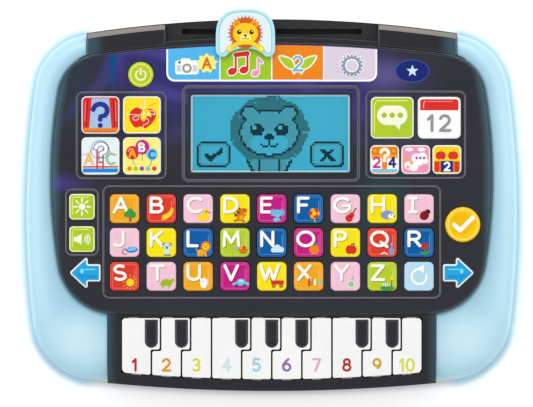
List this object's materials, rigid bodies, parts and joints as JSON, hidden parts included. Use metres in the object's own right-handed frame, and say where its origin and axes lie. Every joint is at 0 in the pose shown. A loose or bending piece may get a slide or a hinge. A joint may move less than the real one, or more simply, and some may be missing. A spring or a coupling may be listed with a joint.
{
  "type": "toy learning tablet",
  "caption": "Flat toy tablet with glowing side grips, coloured letter keys, picture buttons, a small backlit screen, a sliding mode badge and a short piano keyboard.",
  "frame": {"origin": "centre of the body on the flat back it rests on", "axes": "+Z out of the face panel, +Y towards the mode slider, +X towards the right-hand grip"},
  "size_m": [0.2394, 0.1855, 0.0329],
  "materials": {
    "case_black": "glossy black with a printed swirl",
    "rear_black": "fine matt",
    "grip_blue": "translucent, lit from inside",
    "screen": "backlit",
    "board": "solder mask",
    "steel": "zinc plated",
    "badge": "gloss",
    "orange": "gloss",
    "red": "gloss",
    "pink": "gloss",
    "yellow": "gloss",
    "purple": "gloss",
    "blue": "gloss",
    "green": "gloss",
    "sky": "gloss",
    "pale_blue": "gloss",
    "white": "gloss"
  },
  "bodies": {
    "case": {"front_case": "case_black", "rear_case": "rear_black", "side_grips": "grip_blue", "display_module": "screen", "electronics": "board", "screws": "steel"},
    "mode_slider": {"mode_slider": "badge"},
    "power_button": {"power_button": "green"},
    "ok_button": {"ok_button": "yellow"},
    "arrow_left_button": {"arrow_left_button": "sky"},
    "arrow_right_button": {"arrow_right_button": "sky"},
    "brightness_button": {"brightness_button": "green"},
    "volume_button": {"volume_button": "green"},
    "game_button_1": {"game_button_1": "red"},
    "game_button_2": {"game_button_2": "yellow"},
    "game_button_3": {"game_button_3": "sky"},
    "game_button_4": {"game_button_4": "pale_blue"},
    "game_button_5": {"game_button_5": "green"},
    "game_button_6": {"game_button_6": "white"},
    "game_button_7": {"game_button_7": "orange"},
    "game_button_8": {"game_button_8": "pink"},
    "game_button_9": {"game_button_9": "yellow"},
    "piano_key_1": {"piano_key_1": "white"},
    "piano_key_2": {"piano_key_2": "white"},
    "piano_key_3": {"piano_key_3": "white"},
    "piano_key_4": {"piano_key_4": "white"},
    "piano_key_5": {"piano_key_5": "white"},
    "piano_key_6": {"piano_key_6": "white"},
    "piano_key_7": {"piano_key_7": "white"},
    "piano_key_8": {"piano_key_8": "white"},
    "piano_key_9": {"piano_key_9": "white"},
    "piano_key_10": {"piano_key_10": "white"},
    "battery_door": {"battery_door": "rear_black"},
    "key_a": {"key_a": "orange"},
    "key_b": {"key_b": "red"},
    "key_c": {"key_c": "pink"},
    "key_d": {"key_d": "yellow"},
    "key_e": {"key_e": "purple"},
    "key_f": {"key_f": "blue"},
    "key_g": {"key_g": "pink"},
    "key_h": {"key_h": "yellow"},
    "key_i": {"key_i": "pink"},
    "key_j": {"key_j": "pink"},
    "key_k": {"key_k": "yellow"},
    "key_l": {"key_l": "blue"},
    "key_m": {"key_m": "green"},
    "key_n": {"key_n": "blue"},
    "key_o": {"key_o": "purple"},
    "key_p": {"key_p": "yellow"},
    "key_q": {"key_q": "red"},
    "key_r": {"key_r": "blue"},
    "key_s": {"key_s": "red"},
    "key_t": {"key_t": "pink"},
    "key_u": {"key_u": "orange"},
    "key_v": {"key_v": "purple"},
    "key_w": {"key_w": "yellow"},
    "key_x": {"key_x": "orange"},
    "key_y": {"key_y": "pink"},
    "key_z": {"key_z": "green"},
    "key_repeat": {"key_repeat": "pale_blue"}
  },
  "joints": [
    {"name": "mode_slide", "type": "slide", "parent": "case", "child": "mode_slider", "axis": [1, 0, 0], "range_m": [-0.0255, 0.051]},
    {"name": "power_press", "type": "slide", "parent": "case", "child": "power_button", "axis": [0, 0, -1], "range_m": [0, 0.001], "stiffness_N_per_m": 20, "springref_m": -0.02},
    {"name": "ok_press", "type": "slide", "parent": "case", "child": "ok_button", "axis": [0, 0, -1], "range_m": [0, 0.001], "stiffness_N_per_m": 20, "springref_m": -0.02},
    {"name": "arrow_left_press", "type": "slide", "parent": "case", "child": "arrow_left_button", "axis": [0, 0, -1], "range_m": [0, 0.001], "stiffness_N_per_m": 20, "springref_m": -0.02},
    {"name": "arrow_right_press", "type": "slide", "parent": "case", "child": "arrow_right_button", "axis": [0, 0, -1], "range_m": [0, 0.001], "stiffness_N_per_m": 20, "springref_m": -0.02},
    {"name": "brightness_press", "type": "slide", "parent": "case", "child": "brightness_button", "axis": [0, 0, -1], "range_m": [0, 0.001], "stiffness_N_per_m": 20, "springref_m": -0.02},
    {"name": "volume_press", "type": "slide", "parent": "case", "child": "volume_button", "axis": [0, 0, -1], "range_m": [0, 0.001], "stiffness_N_per_m": 20, "springref_m": -0.02},
    {"name": "game_press_1", "type": "slide", "parent": "case", "child": "game_button_1", "axis": [0, 0, -1], "range_m": [0, 0.001], "stiffness_N_per_m": 20, "springref_m": -0.02},
    {"name": "game_press_2", "type": "slide", "parent": "case", "child": "game_button_2", "axis": [0, 0, -1], "range_m": [0, 0.001], "stiffness_N_per_m": 20, "springref_m": -0.02},
    {"name": "game_press_3", "type": "slide", "parent": "case", "child": "game_button_3", "axis": [0, 0, -1], "range_m": [0, 0.001], "stiffness_N_per_m": 20, "springref_m": -0.02},
    {"name": "game_press_4", "type": "slide", "parent": "case", "child": "game_button_4", "axis": [0, 0, -1], "range_m": [0, 0.001], "stiffness_N_per_m": 20, "springref_m": -0.02},
    {"name": "game_press_5", "type": "slide", "parent": "case", "child": "game_button_5", "axis": [0, 0, -1], "range_m": [0, 0.001], "stiffness_N_per_m": 20, "springref_m": -0.02},
    {"name": "game_press_6", "type": "slide", "parent": "case", "child": "game_button_6", "axis": [0, 0, -1], "range_m": [0, 0.001], "stiffness_N_per_m": 20, "springref_m": -0.02},
    {"name": "game_press_7", "type": "slide", "parent": "case", "child": "game_button_7", "axis": [0, 0, -1], "range_m": [0, 0.001], "stiffness_N_per_m": 20, "springref_m": -0.02},
    {"name": "game_press_8", "type": "slide", "parent": "case", "child": "game_button_8", "axis": [0, 0, -1], "range_m": [0, 0.001], "stiffness_N_per_m": 20, "springref_m": -0.02},
    {"name": "game_press_9", "type": "slide", "parent": "case", "child": "game_button_9", "axis": [0, 0, -1], "range_m": [0, 0.001], "stiffness_N_per_m": 20, "springref_m": -0.02},
    {"name": "piano_press_1", "type": "slide", "parent": "case", "child": "piano_key_1", "axis": [0, 0, -1], "range_m": [0, 0.0012], "stiffness_N_per_m": 20, "springref_m": -0.02},
    {"name": "piano_press_2", "type": "slide", "parent": "case", "child": "piano_key_2", "axis": [0, 0, -1], "range_m": [0, 0.0012], "stiffness_N_per_m": 20, "springref_m": -0.02},
    {"name": "piano_press_3", "type": "slide", "parent": "case", "child": "piano_key_3", "axis": [0, 0, -1], "range_m": [0, 0.0012], "stiffness_N_per_m": 20, "springref_m": -0.02},
    {"name": "piano_press_4", "type": "slide", "parent": "case", "child": "piano_key_4", "axis": [0, 0, -1], "range_m": [0, 0.0012], "stiffness_N_per_m": 20, "springref_m": -0.02},
    {"name": "piano_press_5", "type": "slide", "parent": "case", "child": "piano_key_5", "axis": [0, 0, -1], "range_m": [0, 0.0012], "stiffness_N_per_m": 20, "springref_m": -0.02},
    {"name": "piano_press_6", "type": "slide", "parent": "case", "child": "piano_key_6", "axis": [0, 0, -1], "range_m": [0, 0.0012], "stiffness_N_per_m": 20, "springref_m": -0.02},
    {"name": "piano_press_7", "type": "slide", "parent": "case", "child": "piano_key_7", "axis": [0, 0, -1], "range_m": [0, 0.0012], "stiffness_N_per_m": 20, "springref_m": -0.02},
    {"name": "piano_press_8", "type": "slide", "parent": "case", "child": "piano_key_8", "axis": [0, 0, -1], "range_m": [0, 0.0012], "stiffness_N_per_m": 20, "springref_m": -0.02},
    {"name": "piano_press_9", "type": "slide", "parent": "case", "child": "piano_key_9", "axis": [0, 0, -1], "range_m": [0, 0.0012], "stiffness_N_per_m": 20, "springref_m": -0.02},
    {"name": "piano_press_10", "type": "slide", "parent": "case", "child": "piano_key_10", "axis": [0, 0, -1], "range_m": [0, 0.0012], "stiffness_N_per_m": 20, "springref_m": -0.02},
    {"name": "door_off", "type": "slide", "parent": "case", "child": "battery_door", "axis": [0, 0, -1], "range_m": [0, 0.03]},
    {"name": "letter_press_a", "type": "slide", "parent": "case", "child": "key_a", "axis": [0, 0, -1], "range_m": [0, 0.001], "stiffness_N_per_m": 20, "springref_m": -0.02},
    {"name": "letter_press_b", "type": "slide", "parent": "case", "child": "key_b", "axis": [0, 0, -1], "range_m": [0, 0.001], "stiffness_N_per_m": 20, "springref_m": -0.02},
    {"name": "letter_press_c", "type": "slide", "parent": "case", "child": "key_c", "axis": [0, 0, -1], "range_m": [0, 0.001], "stiffness_N_per_m": 20, "springref_m": -0.02},
    {"name": "letter_press_d", "type": "slide", "parent": "case", "child": "key_d", "axis": [0, 0, -1], "range_m": [0, 0.001], "stiffness_N_per_m": 20, "springref_m": -0.02},
    {"name": "letter_press_e", "type": "slide", "parent": "case", "child": "key_e", "axis": [0, 0, -1], "range_m": [0, 0.001], "stiffness_N_per_m": 20, "springref_m": -0.02},
    {"name": "letter_press_f", "type": "slide", "parent": "case", "child": "key_f", "axis": [0, 0, -1], "range_m": [0, 0.001], "stiffness_N_per_m": 20, "springref_m": -0.02},
    {"name": "letter_press_g", "type": "slide", "parent": "case", "child": "key_g", "axis": [0, 0, -1], "range_m": [0, 0.001], "stiffness_N_per_m": 20, "springref_m": -0.02},
    {"name": "letter_press_h", "type": "slide", "parent": "case", "child": "key_h", "axis": [0, 0, -1], "range_m": [0, 0.001], "stiffness_N_per_m": 20, "springref_m": -0.02},
    {"name": "letter_press_i", "type": "slide", "parent": "case", "child": "key_i", "axis": [0, 0, -1], "range_m": [0, 0.001], "stiffness_N_per_m": 20, "springref_m": -0.02},
    {"name": "letter_press_j", "type": "slide", "parent": "case", "child": "key_j", "axis": [0, 0, -1], "range_m": [0, 0.001], "stiffness_N_per_m": 20, "springref_m": -0.02},
    {"name": "letter_press_k", "type": "slide", "parent": "case", "child": "key_k", "axis": [0, 0, -1], "range_m": [0, 0.001], "stiffness_N_per_m": 20, "springref_m": -0.02},
    {"name": "letter_press_l", "type": "slide", "parent": "case", "child": "key_l", "axis": [0, 0, -1], "range_m": [0, 0.001], "stiffness_N_per_m": 20, "springref_m": -0.02},
    {"name": "letter_press_m", "type": "slide", "parent": "case", "child": "key_m", "axis": [0, 0, -1], "range_m": [0, 0.001], "stiffness_N_per_m": 20, "springref_m": -0.02},
    {"name": "letter_press_n", "type": "slide", "parent": "case", "child": "key_n", "axis": [0, 0, -1], "range_m": [0, 0.001], "stiffness_N_per_m": 20, "springref_m": -0.02},
    {"name": "letter_press_o", "type": "slide", "parent": "case", "child": "key_o", "axis": [0, 0, -1], "range_m": [0, 0.001], "stiffness_N_per_m": 20, "springref_m": -0.02},
    {"name": "letter_press_p", "type": "slide", "parent": "case", "child": "key_p", "axis": [0, 0, -1], "range_m": [0, 0.001], "stiffness_N_per_m": 20, "springref_m": -0.02},
    {"name": "letter_press_q", "type": "slide", "parent": "case", "child": "key_q", "axis": [0, 0, -1], "range_m": [0, 0.001], "stiffness_N_per_m": 20, "springref_m": -0.02},
    {"name": "letter_press_r", "type": "slide", "parent": "case", "child": "key_r", "axis": [0, 0, -1], "range_m": [0, 0.001], "stiffness_N_per_m": 20, "springref_m": -0.02},
    {"name": "letter_press_s", "type": "slide", "parent": "case", "child": "key_s", "axis": [0, 0, -1], "range_m": [0, 0.001], "stiffness_N_per_m": 20, "springref_m": -0.02},
    {"name": "letter_press_t", "type": "slide", "parent": "case", "child": "key_t", "axis": [0, 0, -1], "range_m": [0, 0.001], "stiffness_N_per_m": 20, "springref_m": -0.02},
    {"name": "letter_press_u", "type": "slide", "parent": "case", "child": "key_u", "axis": [0, 0, -1], "range_m": [0, 0.001], "stiffness_N_per_m": 20, "springref_m": -0.02},
    {"name": "letter_press_v", "type": "slide", "parent": "case", "child": "key_v", "axis": [0, 0, -1], "range_m": [0, 0.001], "stiffness_N_per_m": 20, "springref_m": -0.02},
    {"name": "letter_press_w", "type": "slide", "parent": "case", "child": "key_w", "axis": [0, 0, -1], "range_m": [0, 0.001], "stiffness_N_per_m": 20, "springref_m": -0.02},
    {"name": "letter_press_x", "type": "slide", "parent": "case", "child": "key_x", "axis": [0, 0, -1], "range_m": [0, 0.001], "stiffness_N_per_m": 20, "springref_m": -0.02},
    {"name": "letter_press_y", "type": "slide", "parent": "case", "child": "key_y", "axis": [0, 0, -1], "range_m": [0, 0.001], "stiffness_N_per_m": 20, "springref_m": -0.02},
    {"name": "letter_press_z", "type": "slide", "parent": "case", "child": "key_z", "axis": [0, 0, -1], "range_m": [0, 0.001], "stiffness_N_per_m": 20, "springref_m": -0.02},
    {"name": "letter_press_repeat", "type": "slide", "parent": "case", "child": "key_repeat", "axis": [0, 0, -1], "range_m": [0, 0.001], "stiffness_N_per_m": 20, "springref_m": -0.02}
  ]
}
